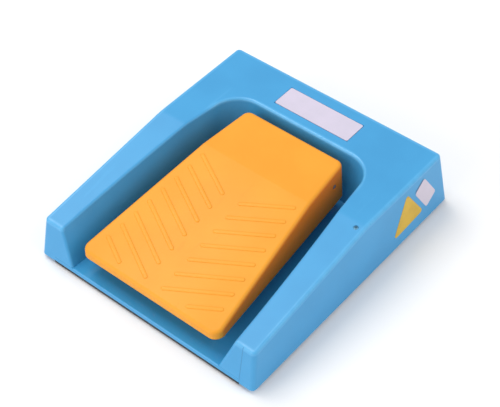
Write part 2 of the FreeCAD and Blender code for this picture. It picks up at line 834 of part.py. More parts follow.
def make_pedal_bushes():
    bore = "(pin_radius + pin_gap)"
    end = "(bush_seat - 2*pin_gap)"
    outline = [(bore, "-bush_flange_thickness"), ("bush_flange", "-bush_flange_thickness"),
               ("bush_flange", "0"), ("bush_radius", "0"), ("bush_radius", end), (bore, end)]
    right = place(turned("bush_right", outline), (bush_inner, pivot_y, pivot_z), along_x)
    along_minus_x = FreeCAD.Rotation(FreeCAD.Vector(0, 1, 0), -90)
    left = place(turned("bush_left", outline), (f"-{bush_inner}", pivot_y, pivot_z), along_minus_x)
    return group("pedal_bushes", [left, right])


# Hinge: a folded bracket on the well floor carries the pin

def make_pivot_bracket():
    owner = body("pivot_bracket")
    foot = rectangle(owner, "XY_Plane", floor_top, "-bracket_half", "bracket_half",
                     bracket_front, bracket_rear)
    pad(owner, foot, "bracket_sheet")
    top = f"({pivot_z} + ear_half)"
    ear = [(f"({pivot_y} - ear_half)", floor_top), (f"({pivot_y} + ear_half)", floor_top),
           (f"({pivot_y} + ear_half)", pivot_z), (f"({pivot_y} + ear_half/2)", top),
           (f"({pivot_y} - ear_half/2)", top), (f"({pivot_y} - ear_half)", pivot_z)]
    for offset, away in (("bracket_half", True), ("-bracket_half", False)):
        pad(owner, polygon(owner, "YZ_Plane", offset, ear), "bracket_sheet", reverse=away)
    pad(owner, rectangle(owner, "XZ_Plane", f"-{bracket_front}", "-switch_tab_half", "switch_tab_half",
                         floor_top, f"({switch_low} + 2*switch_hole_up)"), "bracket_sheet", reverse=True)
    pocket_through(owner, circles(owner, "YZ_Plane", "0", [(pivot_y, pivot_z)], "(pin_radius + pin_gap)"))
    pocket(owner, circles(owner, "XY_Plane", bracket_top, bracket_holes, "(screw_radius + thread_gap)"),
           "bracket_sheet")
    pocket(owner, circles(owner, "XZ_Plane", f"-{bracket_front}", switch_holes,
                          "(small_screw_radius + thread_gap)"), "bracket_sheet")
    return owner


def make_bracket_screws():
    length = "(bracket_sheet + floor_skin + plate_thickness)"
    members = [screw(f"bracket_screw_{index}", (x, y, bracket_top), FreeCAD.Rotation(), "screw_head",
                     "screw_head_height", "screw_radius", length)
               for index, (x, y) in enumerate(bracket_holes)]
    return group("bracket_screws", members)


clip_start = "(bracket_half + pin_gap)"
clip_end = "(bracket_half + 3*pin_gap + clip_thickness)"


def make_pivot_pin():
    half = f"({pedal_half(pivot_y, pivot_z)} - pin_sink)"
    upper = [("pin_radius", clip_start), ("pin_groove", clip_start), ("pin_groove", clip_end),
             ("pin_radius", clip_end), ("pin_radius", half)]
    lower = [(radius, f"-{level}") for radius, level in reversed(upper)]
    owner = turned("pivot_pin", [("0", f"-{half}")] + lower + upper + [("0", half)])
    return place(owner, ("0", pivot_y, pivot_z), along_x)


def make_pin_clips():
    bore = "(pin_groove + pin_gap)"
    outline = [(bore, "0"), ("clip_radius", "0"), ("clip_radius", "clip_thickness"),
               (bore, "clip_thickness")]
    starts = (f"({clip_start} + pin_gap)", f"-({clip_end} - pin_gap)")
    members = [place(turned(f"pin_clip_{index}", outline), (start, pivot_y, pivot_z), along_x)
               for index, start in enumerate(starts)]
    return group("pin_clips", members)


# Springs: one unbroken round wire on a helix, each quarter turn a pair of tangent arcs

def arc_edge(start, corner, end):
    chord = (start + end) * 0.5
    height = (corner - chord).Length
    half = (end - start).Length / 2
    sag = half * math.tan(math.atan2(height, half) / 2)
    return Part.Arc(start, chord + (corner - chord) * (sag / height), end).toShape()


def biarc(start, start_way, end, end_way):
    span = end - start
    ways = start_way + end_way
    square = 2 * (1 - start_way.dot(end_way))
    reach = (-span.dot(ways) + math.sqrt(span.dot(ways) ** 2 + square * span.dot(span))) / square
    first = start + start_way * reach
    second = end - end_way * reach
    joint = (first + second) * 0.5
    return [arc_edge(start, first, joint), arc_edge(joint, second, end)]


def make_spring(label, side):
    radius = number("spring_radius")
    wire = number("spring_wire")
    bottom = number(floor_top) + wire + 0.05
    top = number(spring_top) - wire - number("spring_gap")
    turns = number("spring_turns")
    climb = (top - bottom) / (2 * math.pi * turns)
    centre = FreeCAD.Vector(number(side), number(spring_y), bottom)

    def point(angle):
        return centre + FreeCAD.Vector(radius * math.cos(angle), radius * math.sin(angle), climb * angle)

    def way(angle):
        return FreeCAD.Vector(-radius * math.sin(angle), radius * math.cos(angle), climb).normalize()

    quarters = round(4 * turns)
    step = 2 * math.pi * turns / quarters
    edges = []
    for index in range(quarters):
        start = index * step
        edges += biarc(point(start), way(start), point(start + step), way(start + step))
    section = Part.Wire([Part.Circle(point(0), way(0), wire).toShape()])
    item = document.addObject("Part::Feature", label)
    item.Label = label
    item.Shape = Part.Wire(edges).makePipeShell([section], True, False)
    item.Placement = FreeCAD.Placement()
    gap = 2 * math.pi * climb * math.cos(math.atan2(climb, radius)) - 2 * wire
    print(f"{label}: least gap between turns {gap:.2f} mm")
    return item


def make_bump_stops():
    fall = f"(({pivot_y} - {stop_y})*pedal_travel*pi/180)"
    height = f"({tread_z(stop_y)} - pedal_wall - {fall} - stop_clearance - {floor_top})"
    outline = [("0", "0"), ("stop_radius", "0"), ("stop_radius", f"{height} - stop_radius/5"),
               ("stop_radius*4/5", height), ("0", height)]
    members = [place(turned(f"bump_stop_{index}", outline), (f"{sign}stop_side", stop_y, floor_top))
               for index, sign in enumerate(("-", ""))]
    return group("bump_stops", members)


def make_rest_stops():
    members = []
    for sign in ("-", ""):
        low = (f"{sign}rest_side - rest_width/2", f"{pedal_rear} - rest_depth", bracket_top)
        high = (f"{sign}rest_side + rest_width/2", pedal_rear, f"{pedal_low} - rest_gap")
        members.append(box(f"rest_stop_{len(members)}", low, high))
    return group("rest_stops", members)


# Sensing switch on the bracket's tab, with its plunger under the treadle's striker

def make_switch_case():
    owner = body("switch_case")
    front = f"({plunger_y} - switch_depth/2)"
    rear = f"({plunger_y} + switch_depth/2)"
    pad(owner, rectangle(owner, "XY_Plane", switch_low, "-switch_length/2", "switch_length/2", front, rear),
        "switch_height")
    bore = circles(owner, "XY_Plane", switch_top, [("0", plunger_y)], "(plunger_radius + plunger_gap)")
    pocket(owner, bore, "plunger_bore")
    holes = circles(owner, "XZ_Plane", f"-{front}", switch_holes, "(small_screw_radius + thread_gap)")
    pocket(owner, holes, "switch_depth")
    return owner


def make_switch_plunger():
    return rod("switch_plunger", "plunger_radius", "(plunger_proud + plunger_depth)",
               ("0", plunger_y, f"{switch_top} - plunger_depth"))


def make_switch_terminals():
    members = []
    for index, step in enumerate(("-terminal_pitch", "0", "terminal_pitch")):
        low = (f"{step} - terminal_width/2", f"{plunger_y} - terminal_thickness/2",
               f"{switch_low} - terminal_length")
        high = (f"{step} + terminal_width/2", f"{plunger_y} + terminal_thickness/2", switch_low)
        members.append(box(f"terminal_{index}", low, high))
    return group("switch_terminals", members)


def make_switch_screws():
    rear = f"({plunger_y} + switch_depth/2)"
    members = [screw(f"switch_screw_{index}", (x, rear, z), along_y, "small_screw_head",
                     "small_screw_head_height", "small_screw_radius", "(switch_depth + bracket_sheet)")
               for index, (x, z) in enumerate(switch_holes)]
    return group("switch_screws", members)


lead_start = f"({plunger_y} + terminal_thickness/2)"


def make_switch_lead():
    length = f"{board_front} - {lead_start}"
    return rod("switch_lead", "lead_radius", length, ("0", lead_start, lead_z), along_y)


def make_lead_grommet():
    wall = f"({floor_rear} + wall_lean*({lead_z} - {floor_top})/({hood_top} - {floor_top}))"
    length = "(housing_wall + 2*grommet_overhang)"
    outline = [("lead_radius + pin_gap", "0"), ("grommet_radius - pin_gap", "0"),
               ("grommet_radius - pin_gap", length), ("lead_radius + pin_gap", length)]
    return place(turned("lead_grommet", outline), ("0", f"{wall} - grommet_overhang", lead_z), along_y)


# Radio board on spacers in the hood

def make_circuit_board():
    owner = body("circuit_board")
    pad(owner, rectangle(owner, "XY_Plane", board_low, "board_left", board_right, board_front, board_rear),
        "board_thickness")
    pocket(owner, circles(owner, "XY_Plane", board_top, board_holes, "(small_screw_radius + thread_gap)"),
           "board_thickness")
    return owner


def make_board_spacers():
    bore = "(small_screw_radius + thread_gap)"
    height = f"({board_low} - {plate_top})"
    outline = [(bore, "0"), ("spacer_radius", "0"), ("spacer_radius", height), (bore, height)]
    members = [place(turned(f"board_spacer_{index}", outline), (x, y, plate_top))
               for index, (x, y) in enumerate(board_holes)]
    return group("board_spacers", members)


def make_board_screws():
    length = f"({board_top} - foot_height)"
    members = [screw(f"board_screw_{index}", (x, y, board_top), FreeCAD.Rotation(), "small_screw_head",
                     "small_screw_head_height", "small_screw_radius", length)
               for index, (x, y) in enumerate(board_holes)]
    return group("board_screws", members)


def make_board_sockets():
    switch_socket = box("switch_socket", ("-socket_width/2", board_front, board_top),
                        ("socket_width/2", f"{board_front} + socket_depth", f"{board_top} + socket_height"))
    led_socket = box("led_socket", (f"{board_right} - socket_depth", side_socket_y, board_top),
                     (board_right, f"{side_socket_y} + socket_width", f"{board_top} + socket_height"))
    battery_socket = box("battery_socket", ("board_left", side_socket_y, f"{board_low} - socket_height"),
                         ("board_left + socket_depth", f"{side_socket_y} + socket_width", board_low))
    return group("board_sockets", [switch_socket, led_socket, battery_socket])


def make_radio_module():
    left = f"((board_left + {board_right})/2 - module_length/2)"
    front = f"(({board_front} + {board_rear})/2 - module_depth/2)"
    owner = body("radio_module")
    pad(owner, rectangle(owner, "XY_Plane", board_top, left, f"{left} + module_length", front,
                         f"{front} + module_depth"), "module_height")
    rounded(owner, "label_corner", is_upright)
    return owner


def make_antenna():
    x = f"({board_right} - socket_depth - 2*board_screw_inset)"
    y = f"({board_front} + 3*board_screw_inset)"
    return rod("antenna", "antenna_radius", "antenna_height", (x, y, board_top))


def make_status_led():
    height = f"({arm_z('led_place')} + led_proud - {led_low})"
    outline = [("0", "0"), ("led_flange", "0"), ("led_flange", "led_flange/2"),
               ("led_radius", "led_flange/2"), ("led_radius", f"{height} - led_radius/3"),
               ("led_radius*2/3", height), ("0", height)]
    return place(turned("status_led", outline), (led_side, "led_place", led_low))


def bent_tube(label, points, radius, bend):
    corners = [FreeCAD.Vector(*[number(text) for text in point]) for point in points]
    edges = []
    start = corners[0]
    length = 0.0
    for before, corner, after in zip(corners, corners[1:], corners[2:]):
        back = before - corner
        on = after - corner
        cut = number(bend) * min(back.Length, on.Length)
        leave = corner + back * (cut / back.Length)
        join = corner + on * (cut / on.Length)
        edges.append(Part.LineSegment(start, leave).toShape())
        edges.append(arc_edge(leave, corner, join))
        turn = math.pi - back.getAngle(on)
        print(f"{label}: bend radius {cut / math.tan(turn / 2):.1f} mm")
        start = join
    edges.append(Part.LineSegment(start, corners[-1]).toShape())
    path = Part.Wire(edges)
    section = Part.Wire([Part.Circle(corners[0], corners[1] - corners[0], number(radius)).toShape()])
    item = document.addObject("Part::Feature", label)
    item.Label = label
    item.Shape = path.makePipeShell([section], True, False)
    item.Placement = FreeCAD.Placement()
    plain = math.pi * number(radius) ** 2 * path.Length
    if abs(item.Shape.Volume / plain - 1) > 0.01:
        raise RuntimeError(label + " has the wrong volume")
    return item


def make_led_lead():
    enter = f"({side_socket_y} + socket_width/2)"
    route = [(led_side, "led_place", led_low),
             (led_side, "led_place", f"{lead_z} + ({led_low} - {lead_z})*led_lead_drop"),
             (led_side, f"led_place + ({enter} - led_place)*led_lead_run", lead_z),
             (led_side, enter, lead_z),
             (board_right, enter, lead_z)]
    return bent_tube("led_lead", route, "wire_radius", "led_lead_bend")


# Cell tray, open below, closed by a door in the base plate

def make_battery_tray():
    owner = body("battery_tray")
    pad(owner, rectangle(owner, "XY_Plane", plate_top, tray_left, "tray_right", tray_front, tray_rear),
        f"{tray_top} - {plate_top}")
    inner_left = f"({tray_left} + tray_wall)"
    inner = rectangle(owner, "XY_Plane", plate_top, inner_left, f"{inner_left} + {tray_inner}",
                      f"{tray_front} + tray_wall", f"{tray_rear} - tray_wall")
    pocket(owner, inner, f"{tray_top} - tray_wall - {plate_top}", reverse=True)
    lug = rectangle(owner, "XY_Plane", plate_top, f"{tray_left} - tray_lug", f"{tray_left} + tray_wall/2",
                    f"{tray_middle} - tray_lug/2", f"{tray_middle} + tray_lug/2")
    pad(owner, lug, "2*tray_wall")
    other = rectangle(owner, "XY_Plane", plate_top, "tray_right - tray_wall", "tray_right + tray_lug",
                      tray_front, f"{tray_front} + tray_lug")
    pad(owner, other, "2*tray_wall")
    small = "(small_screw_radius + thread_gap)"
    pocket(owner, circles(owner, "XY_Plane", plate_top, tray_holes, small), "2*tray_wall", reverse=True)
    pocket(owner, circles(owner, "XY_Plane", plate_top, [door_hole], small), "screw_length/2", reverse=True)
    return owner


def make_tray_screws():
    length = "(2*tray_wall + plate_thickness)"
    members = [screw(f"tray_screw_{index}", (x, y, f"{plate_top} + 2*tray_wall"), FreeCAD.Rotation(),
                     "small_screw_head", "small_screw_head_height", "small_screw_radius", length)
               for index, (x, y) in enumerate(tray_holes)]
    return group("tray_screws", members)


cell_start = f"({tray_left} + tray_wall + contact_thickness + cell_gap)"
cell_level = f"({plate_top} + cell_gap/2 + cell_radius)"
cell_rows = [f"({tray_front} + tray_wall + cell_gap + cell_radius)",
             f"({tray_front} + tray_wall + 2*cell_gap + 3*cell_radius)"]


def make_battery_cells():
    tip = "(cell_length + cell_nub)"
    outline = [("0", "0"), ("cell_radius", "0"), ("cell_radius", "cell_length"),
               ("cell_radius/3", "cell_length"), ("cell_radius/3", tip), ("0", tip)]
    members = [place(turned(f"cell_{index}", outline), (cell_start, y, cell_level), along_x)
               for index, y in enumerate(cell_rows)]
    return group("battery_cells", members)


def make_battery_contacts():
    members = []
    left = f"({tray_left} + tray_wall)"
    for x in (left, f"({left} + {tray_inner} - contact_thickness)"):
        for y in cell_rows:
            low = (x, f"{y} - cell_radius*2/3", f"{plate_top} + cell_radius/3")
            high = (f"{x} + contact_thickness", f"{y} + cell_radius*2/3", f"{tray_top} - tray_wall")
            members.append(box(f"contact_{len(members)}", low, high))
    return group("battery_contacts", members)


def make_battery_leads():
    members = []
    for sign in ("-", "+"):
        y = f"{side_socket_y} + socket_width/2 {sign} wire_pitch/2"
        members.append(rod(f"battery_lead_{len(members)}", "wire_radius", "board_left - tray_right",
                           ("tray_right", y, battery_wire_z), along_x))
    return group("battery_leads", members)


def make_battery_door():
    owner = body("battery_door")
    left, right, low, high = door_span("(tray_wall/2 + door_gap)")
    pad(owner, rectangle(owner, "XY_Plane", "foot_height", left, right, low, high), "plate_thickness")
    pocket(owner, circles(owner, "XY_Plane", plate_top, [door_hole], "(small_screw_radius + thread_gap)"),
           "plate_thickness")
    countersink(owner, door_hole, "small_screw_head", "small_screw_head_height", "small_screw_radius")
    return owner


def make_door_screw():
    x, y = door_hole
    return screw("door_screw", (x, y, "foot_height"), upside_down, "small_screw_head",
                 "small_screw_head_height", "small_screw_radius", "screw_length/2", sunk=True)


subparts = [
    make_housing(), make_base_plate(), make_base_screws(), make_rubber_feet(), make_label_plate(),
    make_side_label(), make_side_marker(), make_status_led(),
    make_pedal(), make_pedal_bushes(), make_pivot_bracket(), make_bracket_screws(), make_pivot_pin(),
    make_pin_clips(), make_spring("return_spring_left", "-spring_side"),
    make_spring("return_spring_right", "spring_side"), make_bump_stops(), make_rest_stops(),
    make_switch_case(), make_switch_plunger(), make_switch_terminals(), make_switch_screws(),
    make_switch_lead(), make_lead_grommet(), make_circuit_board(), make_board_spacers(),
    make_board_screws(), make_board_sockets(), make_radio_module(), make_antenna(), make_led_lead(),
    make_battery_tray(), make_tray_screws(), make_battery_cells(), make_battery_contacts(),
    make_battery_leads(), make_battery_door(), make_door_screw(),
]
document.recompute()

for item in document.Objects:
    if "Invalid" in item.State or "Error" in item.State:
        raise RuntimeError(item.Name + " failed")
for item in subparts:
    if item.Shape.isNull() or not item.Shape.isValid():
        raise RuntimeError(item.Label + " has no valid shape")

os.makedirs("parts", exist_ok=True)
for item in subparts:
    item.Shape.exportStep(f"parts/{item.Label}.step")
print(f"{len(subparts)} sub-parts written")
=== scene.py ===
import math
import bmesh
import bpy
import numpy as np
from mathutils import Matrix, Vector


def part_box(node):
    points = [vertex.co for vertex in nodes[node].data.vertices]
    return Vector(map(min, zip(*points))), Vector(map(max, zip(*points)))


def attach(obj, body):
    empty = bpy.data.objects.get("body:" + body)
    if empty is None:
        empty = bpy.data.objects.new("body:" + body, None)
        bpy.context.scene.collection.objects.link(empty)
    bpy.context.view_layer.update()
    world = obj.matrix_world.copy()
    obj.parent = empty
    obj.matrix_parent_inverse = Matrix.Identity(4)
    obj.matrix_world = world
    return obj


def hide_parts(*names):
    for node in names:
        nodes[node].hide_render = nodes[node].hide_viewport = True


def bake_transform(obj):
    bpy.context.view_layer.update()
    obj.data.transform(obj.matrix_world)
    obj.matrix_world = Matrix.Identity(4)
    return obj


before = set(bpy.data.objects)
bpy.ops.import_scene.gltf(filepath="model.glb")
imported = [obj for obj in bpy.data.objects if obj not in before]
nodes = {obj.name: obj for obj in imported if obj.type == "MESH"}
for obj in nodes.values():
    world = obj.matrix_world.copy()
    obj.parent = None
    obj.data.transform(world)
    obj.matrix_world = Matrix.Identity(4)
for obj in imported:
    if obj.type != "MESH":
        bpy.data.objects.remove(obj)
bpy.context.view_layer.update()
print("frame loaded:", len(nodes), "solids")


# 0 to 255 screen values to the linear colour that shaders take, by the sRGB curve
def paint(red, green, blue):
    screen = np.array([red, green, blue]) / 255.0
    linear = np.where(screen <= 0.04045, screen / 12.92, ((screen + 0.055) / 1.055) ** 2.4)
    return (*linear.tolist(), 1.0)


# a socket of a material's node tree; arithmetic on it adds Math nodes
class Wire:
    def __init__(self, tree, socket=None):
        self.tree = tree
        self.socket = socket

    # links wires to a node's inputs, and sets plain values on them
    def feed(self, inputs, values):
        for key, value in values.items():
            if isinstance(value, Wire):
                self.tree.links.new(value.socket, inputs[key])
            else:
                inputs[key].default_value = value

    # any node: its settings first, then the values or links of its sockets
    def node(self, kind, settings, sockets, output=0):
        made = self.tree.nodes.new(kind)
        for name, value in settings.items():
            setattr(made, name, value)
        self.feed(made.inputs, sockets)
        return Wire(self.tree, made.outputs[output])

    def math(self, operation, *values):
        return self.node("ShaderNodeMath", {"operation": operation}, dict(enumerate(values)))

    def __add__(self, other):
        return self.math("ADD", self, other)

    def __radd__(self, other):
        return self.math("ADD", other, self)

    def __sub__(self, other):
        return self.math("SUBTRACT", self, other)

    def __rsub__(self, other):
        return self.math("SUBTRACT", other, self)

    def __mul__(self, other):
        return self.math("MULTIPLY", self, other)

    def __rmul__(self, other):
        return self.math("MULTIPLY", other, self)

    def __truediv__(self, other):
        return self.math("DIVIDE", self, other)

    def __abs__(self):
        return self.math("ABSOLUTE", self)

    def atLeast(self, other):
        return self.math("MAXIMUM", self, other)

    def atMost(self, other):
        return self.math("MINIMUM", self, other)

    def root(self):
        return self.math("SQRT", self)

    # 0 below low, 1 above high, eased between; low above high turns it round
    def rise(self, low, high):
        settings = {"interpolation_type": "SMOOTHSTEP"}
        limits = {"From Min": low, "From Max": high, "To Min": 0.0, "To Max": 1.0}
        return self.node("ShaderNodeMapRange", settings, {"Value": self, **limits})

    # this wire is the share of the way from the first number to the second
    def between(self, first, second):
        return first + (second - first) * self

    # this wire is the share of the second colour; a colour is a wire or three screen values
    def mixColours(self, first, second):
        first, second = (colour if isinstance(colour, Wire) else paint(*colour) for colour in (first, second))
        # 6, 7 and 2 are the places of the node's colour sockets
        return self.node("ShaderNodeMix", {"data_type": "RGBA"}, {0: self, 6: first, 7: second}, 2)

    # these are positions: noise with features of about that size in metres, stretched by the three factors
    def noise(self, size, detail, stretch=(1.0, 1.0, 1.0)):
        scaled = self.node("ShaderNodeMapping", {}, {"Vector": self, "Scale": stretch})
        sockets = {"Vector": scaled, "Scale": 1.0 / size, "Detail": detail}
        return self.node("ShaderNodeTexNoise", {}, sockets)

    # noise cut into patches, 0 to 1; a pattern is its size, its detail, and the noise that becomes 0 and 1
    def patches(self, pattern, stretch=(1.0, 1.0, 1.0)):
        size, detail, start, full = pattern
        return self.noise(size, detail, stretch).rise(start, full)

    def xyz(self):
        parts = self.node("ShaderNodeSeparateXYZ", {}, {0: self})
        return [Wire(self.tree, socket) for socket in parts.socket.node.outputs]

    # this wire is a height from 0 to 1; depth is in metres
    def bump(self, depth):
        return self.node("ShaderNodeBump", {}, {"Height": self, "Distance": depth, "Strength": 1.0})


materials = {}


# a new material: its positions in metres, and the inputs of its surface shader
def newMaterial(name):
    material = bpy.data.materials.new(name)
    material.use_nodes = True
    materials[name] = material
    tree = material.node_tree
    place = Wire(tree).node("ShaderNodeTexCoord", {}, {}, "Object")
    return place, tree.nodes["Principled BSDF"].inputs


# the housing's planes, for finding its edges and its well floor: lengths in metres, armFall a slope
housingForm = {
    "halfWidth": 0.080, "halfDepth": 0.0922, "skirt": 0.0026, "hoodHeight": 0.0397, "sideInset": 0.0030,
    "endInset": 0.0068, "armBreak": 0.012, "armFall": 0.1305, "floorTop": 0.0053, "rimFrontHalf": 0.0698,
    "rimRearHalf": 0.0516, "rimRear": 0.0527, "wellCorner": 0.018, "rearRimStart": 0.026, "rearRimFade": 0.012,
}


# 1 on the housing's outer top edges and on the well's rear rim behind the treadle, and 0 a few millimetres
# away;
# it places the pale edge colour, which is partly wear and partly a painted highlight
def housingEdges(place, form, reach):
    x, y, z = place.xyz()
    height = (z - form["skirt"]) / form["hoodHeight"]
    hoodTop = form["skirt"] + form["hoodHeight"]
    sideGap = form["halfWidth"] - form["sideInset"] * height - abs(x)
    endGap = form["halfDepth"] - form["endInset"] * height - abs(y)
    topGap = hoodTop - form["armFall"] * (form["armBreak"] - y).atLeast(0.0) - z
    # the rim: straight at its rear and sides, round at its corners
    taper = (form["rimFrontHalf"] - form["rimRearHalf"]) / (form["rimRear"] + form["halfDepth"])
    rimHalf = form["rimRearHalf"] + taper * (form["rimRear"] - y)
    pastSide = abs(x) - rimHalf + form["wellCorner"]
    pastRear = y - form["rimRear"] + form["wellCorner"]
    roundSide = pastSide.atLeast(0.0)
    roundRear = pastRear.atLeast(0.0)
    corner = (roundSide * roundSide + roundRear * roundRear).root()
    rimGap = abs(corner + pastSide.atLeast(pastRear).atMost(0.0) - form["wellCorner"])
    # only the rear part of the rim takes the pale colour, which stands there for a painted highlight
    rearRim = y.rise(form["rearRimStart"], form["rearRimStart"] + form["rearRimFade"])
    rim = rimGap.rise(2 * reach, reach) * rearRim
    return sideGap.atMost(endGap).rise(2 * reach, reach).atLeast(rim) * topGap.rise(2 * reach, reach)


# a painted shadow on the right side along the white sticker's upper end, standing for the shade under its
# lifted
# edge, in metres: the sticker's middle, its tilt in degrees and its half sizes, then how far the shadow
# reaches and how it fades at its ends
stickerShadow = {
    "middleY": 0.0690, "middleZ": 0.0247, "tilt": -58.0, "halfLength": 0.0110, "halfWidth": 0.0052,
    "reach": 0.0024, "darkest": 0.00024, "endOut": 0.0006, "endIn": 0.0018,
    "faceStart": 0.074, "faceFull": 0.076,  # no painted shadow on faces nearer the middle
    "tint": (28, 80, 122), "share": 0.85,
}


# the painted shadow's mask: 1 just beyond the sticker's upper end, fading out over the reach and along its
# ends
def paintedStickerShadow(place, look):
    x, y, z = place.xyz()
    along = math.radians(look["tilt"])
    back = y - look["middleY"]
    up = z - look["middleZ"]
    past = math.cos(along) * back + math.sin(along) * up + look["halfLength"]
    across = abs(math.cos(along) * up - math.sin(along) * back)
    near = past.rise(-look["reach"], -look["darkest"]) * past.rise(look["halfLength"], 0.0)
    ends = across.rise(look["halfWidth"] + look["endOut"], look["halfWidth"] - look["endIn"])
    return near * ends * x.rise(look["faceStart"], look["faceFull"])


# housing: satin blue moulding with spark-eroded grain, a polished well floor, a fine joint line down the
# right arm's nose, top edges and the well's rear rim pale and smooth, the pale partly wear and partly a
# painted highlight, and a painted shadow beside the white sticker; lengths in metres
housingLook = {
    "deep": (61, 153, 208), "pale": (65, 159, 214), "cloud": (0.035, 3.0, 0.3, 0.7),
    "grain": 0.0006, "depth": 0.00001, "rough": 0.42, "grainGloss": 0.06, "index": 1.5,
    "rubbedAndHighlit": (102, 186, 235), "edge": 0.0014, "patch": (0.007, 4.0, 0.35, 0.6), "leastRubAndHighlight": 0.7,
    "rubAndHighlightShare": 0.52, "smooth": 0.28,
    "scuff": (0.004, 3.0, 0.66, 0.72), "scuffStretch": (1.0, 0.06, 0.5), "scuffShare": 0.12,
    "scuffGloss": 0.04,
    "joint": (50, 134, 188), "jointX": 0.070, "jointHalf": 0.00014, "jointRear": -0.0868, "jointFade": 0.0006,
    "jointDepth": 6,  # in depths of the grain
    "floorSmooth": 0.1, "floorNear": 0.0002, "floorFar": 0.0004, "floorFade": 0.001, "floorPolish": 0.9,
}


def housingPlastic(name, form, look, shadowLook):
    place, surface = newMaterial(name)
    x, y, z = place.xyz()
    grain = place.noise(look["grain"], detail=1.0)
    uneven = place.patches(look["patch"]).between(look["leastRubAndHighlight"], 1.0)
    # the pale edge mask: partly wear, partly a painted highlight along the top edges and rear rim
    rubbedAndHighlit = housingEdges(place, form, look["edge"]) * uneven
    scuffs = place.patches(look["scuff"], look["scuffStretch"])
    joint = abs(x - look["jointX"]).rise(2 * look["jointHalf"], look["jointHalf"])
    joint = joint * y.rise(look["jointRear"], look["jointRear"] - look["jointFade"])
    floor = abs(z - form["floorTop"]).rise(look["floorFar"], look["floorNear"])
    floor = floor * abs(x).rise(form["rimFrontHalf"], form["rimFrontHalf"] - look["floorFade"])
    body = place.patches(look["cloud"]).mixColours(look["deep"], look["pale"])
    # the pale colour goes on the edges as wear and painted highlight, and on the scuffs as wear
    worn = look["rubAndHighlightShare"] * rubbedAndHighlit + look["scuffShare"] * scuffs
    body = worn.mixColours(body, look["rubbedAndHighlit"])
    # painted shadow: the blue is darkened beside the white sticker's upper end
    body = (shadowLook["share"] * paintedStickerShadow(place, shadowLook)).mixColours(body, shadowLook["tint"])
    rough = look["rough"] + look["grainGloss"] * (grain - 0.5) + look["scuffGloss"] * scuffs
    rough = rough - (look["rough"] - look["smooth"]) * rubbedAndHighlit - (look["rough"] - look["floorSmooth"]) * floor
    relief = grain * (1 - look["floorPolish"] * floor) - look["jointDepth"] * joint
    place.feed(surface, {
        "Base Color": joint.mixColours(body, look["joint"]),
        "Roughness": rough,
        "Normal": relief.bump(look["depth"]),
        "IOR": look["index"],
    })


housingPlastic("blue_plastic", housingForm, housingLook, stickerShadow)

# treadle: dull orange moulding, with painted shade making it deeper and warmer in colour down its sides, its
# tread polished by shoes along the middle and faintly streaked; lengths in metres
treadForm = {"creaseY": 0.0079, "creaseZ": 0.0401, "toeSlope": 0.18717, "heelSlope": 0.0505}
treadLook = {
    "deep": (236, 156, 38), "pale": (240, 161, 43), "cloud": (0.03, 3.0, 0.3, 0.7),
    # side is a deeper, warmer orange painted as shade down the flanks
    "side": (241, 125, 20), "shadeTop": 0.0001, "shadeLow": 0.0021, "nose": -0.0835, "noseFade": 0.004,
    "grain": 0.0007, "depth": 0.000012, "rough": 0.52, "grainGloss": 0.08, "sheen": 0.34,
    "wornInner": 0.009, "wornOuter": 0.045, "wornFront": -0.02, "wornRear": 0.02, "smooth": 0.44,
    "streak": (226, 143, 34), "streaks": (0.003, 3.0, 0.6, 0.75), "streakStretch": (1.0, 0.07, 1.0),
    "streakShare": 0.25,
}


def treadPlastic(name, form, look):
    place, surface = newMaterial(name)
    x, y, z = place.xyz()
    grain = place.noise(look["grain"], detail=1.0)
    behind = y - form["creaseY"]
    below = form["creaseZ"] + (form["toeSlope"] * behind).atMost(form["heelSlope"] * behind) - z
    # painted shade: a deeper, warmer orange down the sides below the tread, but not on the nose
    side = below.rise(look["shadeTop"], look["shadeLow"])
    side = side * y.rise(look["nose"], look["nose"] + look["noseFade"])
    worn = abs(x).rise(look["wornOuter"], look["wornInner"]) * y.rise(look["wornRear"], look["wornFront"])
    streaks = place.patches(look["streaks"], look["streakStretch"]) * worn
    body = place.patches(look["cloud"]).mixColours(look["deep"], look["pale"])
    body = (look["streakShare"] * streaks).mixColours(body, look["streak"])
    rough = look["rough"] + look["grainGloss"] * (grain - 0.5)
    place.feed(surface, {
        "Base Color": side.mixColours(body, look["side"]),
        "Roughness": rough - (look["rough"] - look["smooth"]) * worn,
        "Normal": grain.bump(look["depth"]),
        "Specular IOR Level": look["sheen"],
    })


treadPlastic("orange_plastic", treadForm, treadLook)

# the small mouldings: fine grain, cloudy colour and a satin face, and the scuffs that they share
mouldings = {
    "black_plastic": {"deep": (20, 20, 22), "pale": (30, 30, 33), "grain": 0.0005, "depth": 0.000014,
                      "gloss": (0.38, 0.52)},
    "red_plastic": {"deep": (150, 24, 20), "pale": (172, 34, 28), "grain": 0.0005, "depth": 0.000006,
                    "gloss": (0.28, 0.36)},
    "natural_nylon": {"deep": (214, 208, 190), "pale": (228, 223, 208), "grain": 0.0006, "depth": 0.000008,
                      "gloss": (0.34, 0.44)},
    "grey_sheath": {"deep": (98, 100, 103), "pale": (116, 118, 121), "grain": 0.0004, "depth": 0.000006,
                    "gloss": (0.42, 0.52)},
}
mouldingWear = {"cloud": (0.02, 3.0, 0.35, 0.65), "scuff": (0.012, 6.0, 0.5, 0.75),
                "stretch": (1.0, 0.35, 1.0), "grainShare": 0.6, "scuffShare": 0.4}


def smallMoulding(name, look, wear):
    place, surface = newMaterial(name)
    grain = place.noise(look["grain"], detail=1.0)
    scuffs = place.patches(wear["scuff"], wear["stretch"])
    dull = grain * wear["grainShare"] + scuffs * wear["scuffShare"]
    place.feed(surface, {
        "Base Color": place.patches(wear["cloud"]).mixColours(look["deep"], look["pale"]),
        "Roughness": dull.between(*look["gloss"]),
        "Normal": grain.bump(look["depth"]),
    })


for name, look in mouldings.items():
    smallMoulding(name, look, mouldingWear)


